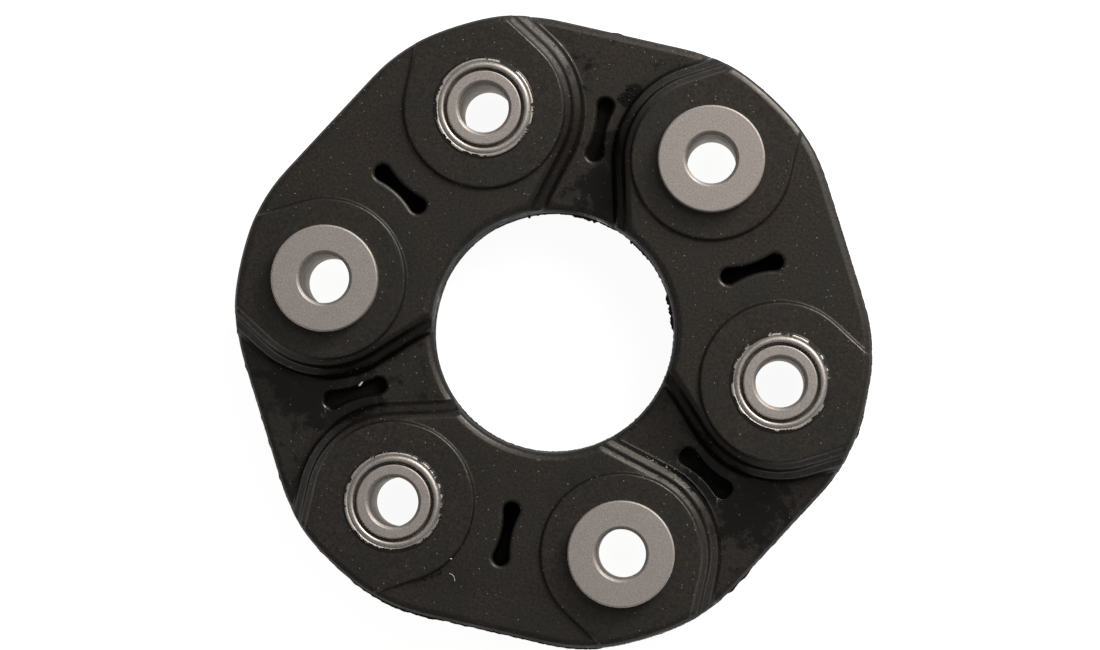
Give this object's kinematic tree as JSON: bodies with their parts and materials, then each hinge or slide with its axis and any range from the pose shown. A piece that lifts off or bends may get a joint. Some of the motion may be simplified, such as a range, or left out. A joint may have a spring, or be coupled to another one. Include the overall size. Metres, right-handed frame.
{
  "type": "flexible shaft coupling",
  "caption": "Flexible rubber coupling disc with a central hole and a bolt circle of flanged steel bushes, turned alternately, tied together by cord loops inside.",
  "frame": {"origin": "centre of the disc on its axis, at mid-thickness", "axes": "+Z along the disc's axis, out of the front face; +X towards bush_1, the first of the bushes whose flange is behind"},
  "size_m": [0.1326, 0.1266, 0.034],
  "materials": {
    "rubber": "moulded satin black rubber",
    "bush_steel": "blasted matt grey steel",
    "collar_steel": "pressed grey steel",
    "divider_plastic": "plain moulded polyamide",
    "cord": "wound and dipped polyester cord"
  },
  "bodies": {
    "root": {"bush_1": "bush_steel", "end_collar_1": "collar_steel", "divider_collar_1": "divider_plastic", "bush_2": "bush_steel", "end_collar_2": "collar_steel", "divider_collar_2": "divider_plastic", "bush_3": "bush_steel", "end_collar_3": "collar_steel", "divider_collar_3": "divider_plastic", "bush_4": "bush_steel", "end_collar_4": "collar_steel", "divider_collar_4": "divider_plastic", "bush_5": "bush_steel", "end_collar_5": "collar_steel", "divider_collar_5": "divider_plastic", "bush_6": "bush_steel", "end_collar_6": "collar_steel", "divider_collar_6": "divider_plastic", "front_cord_loop_1": "cord", "back_cord_loop_1": "cord", "front_cord_loop_2": "cord", "back_cord_loop_2": "cord", "front_cord_loop_3": "cord", "back_cord_loop_3": "cord", "rubber_body": "rubber"}
  },
  "joints": []
}
